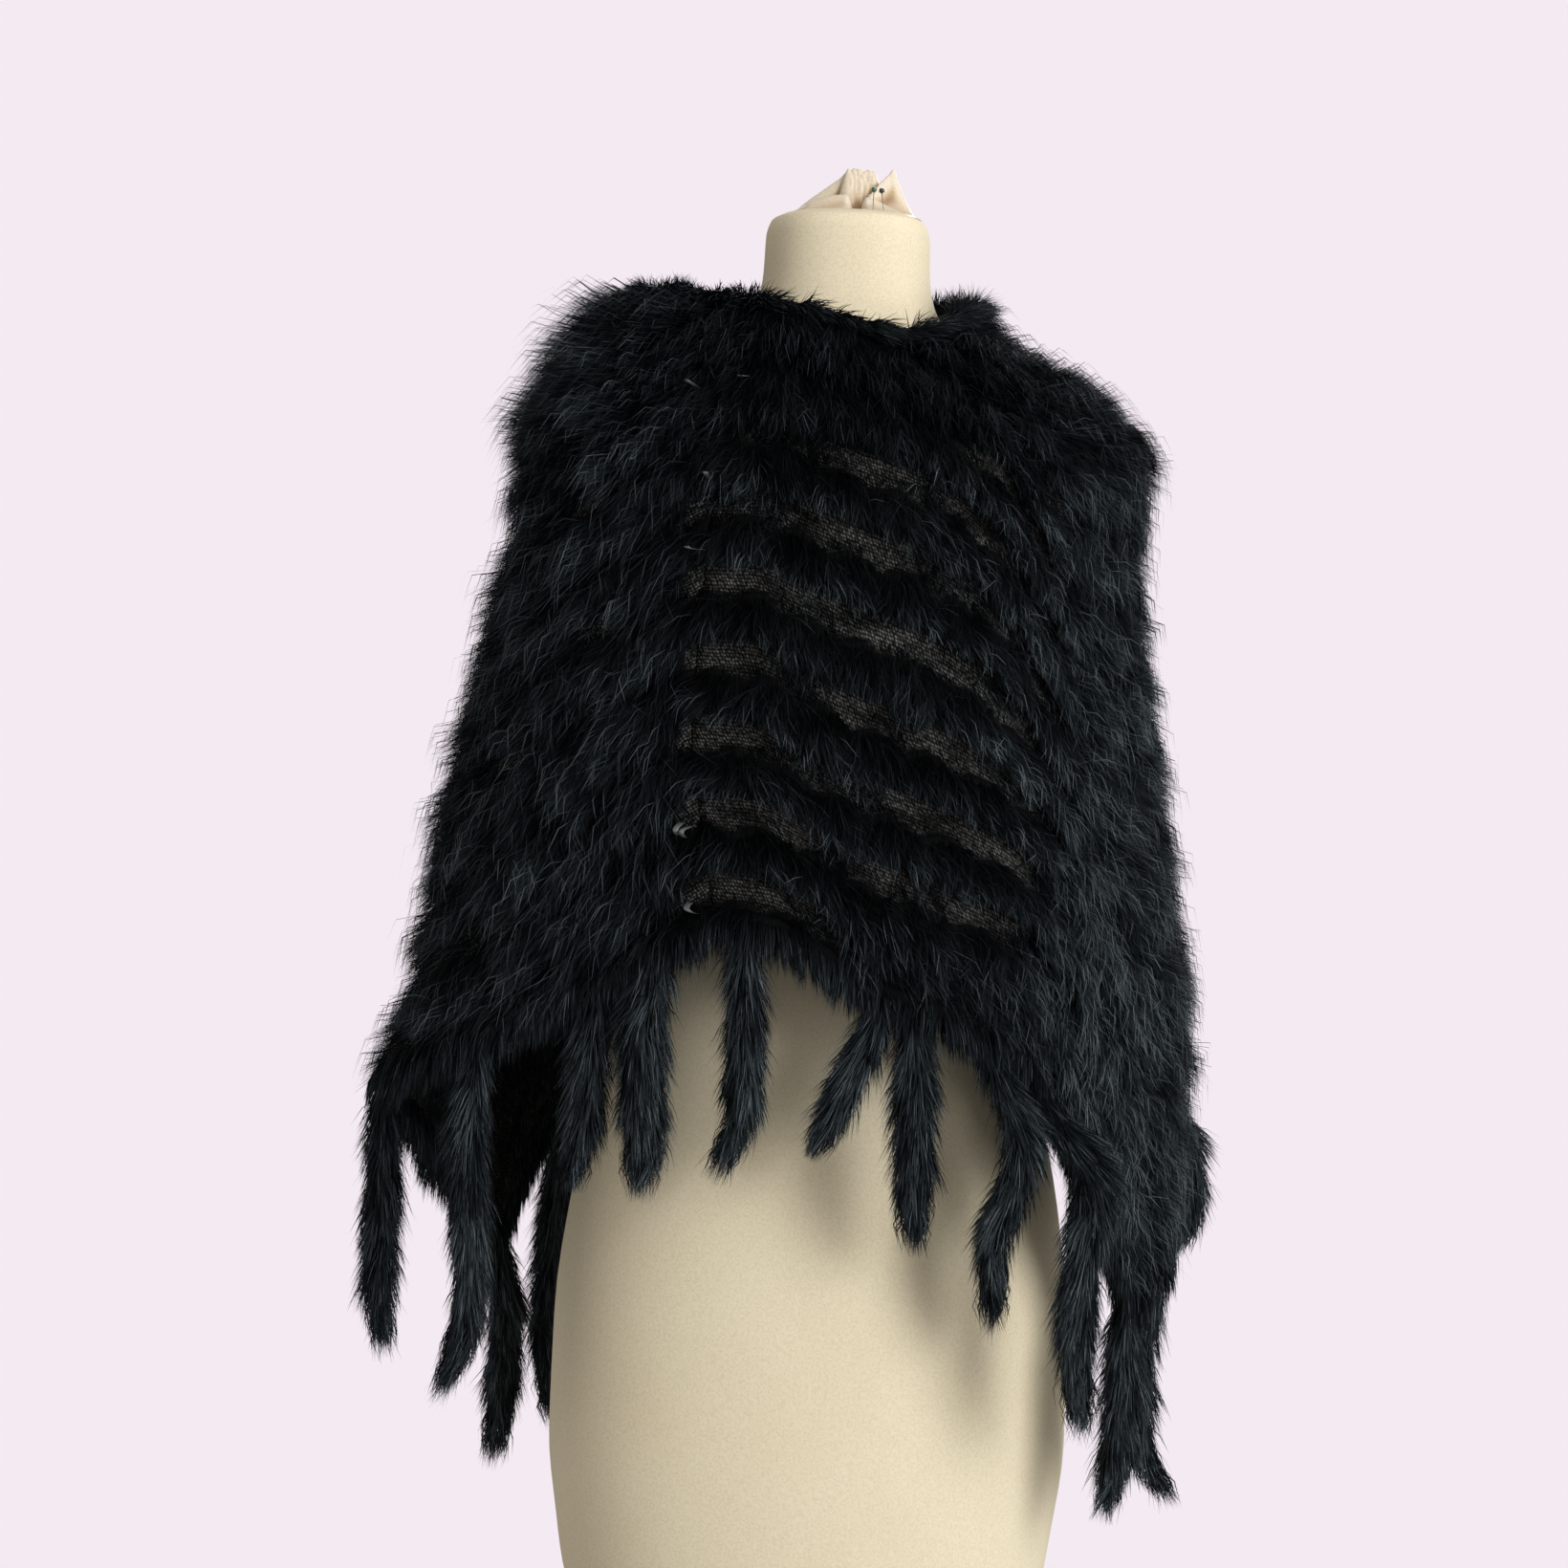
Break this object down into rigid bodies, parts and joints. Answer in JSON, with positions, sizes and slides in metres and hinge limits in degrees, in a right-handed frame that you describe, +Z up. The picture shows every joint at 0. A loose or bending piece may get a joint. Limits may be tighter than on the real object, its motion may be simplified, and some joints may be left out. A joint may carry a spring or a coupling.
{
  "type": "fur poncho on dress form",
  "caption": "Knitted fur poncho with two hem points and fur tails, resting on the shoulders of a limbless dress form.",
  "frame": {"origin": "centre of the dress form's flat underside", "axes": "+Z up along the form's neck; -Y is the front of the form; +X is the viewer's right when the front is seen"},
  "size_m": [0.5768, 0.4059, 0.974],
  "materials": {
    "black_fur": "long soft pile with glossy guard hairs",
    "black_tail_fur": "long soft pile with glossy guard hairs",
    "cream_jersey": "matt fine jersey",
    "gathered_jersey": "soft satin jersey",
    "black_knit": "open matt knit",
    "fur_leather": "matt suede back of the fur strips",
    "pin_glass": "polished bead",
    "pin_steel": "bright"
  },
  "bodies": {
    "root": {"panel_right": "black_fur", "panel_left": "black_fur", "neck_edging": "black_fur", "hem_tails_right": "black_tail_fur", "hem_tails_left": "black_tail_fur", "dress_form": "cream_jersey", "neck_gather": "gathered_jersey"}
  },
  "joints": []
}
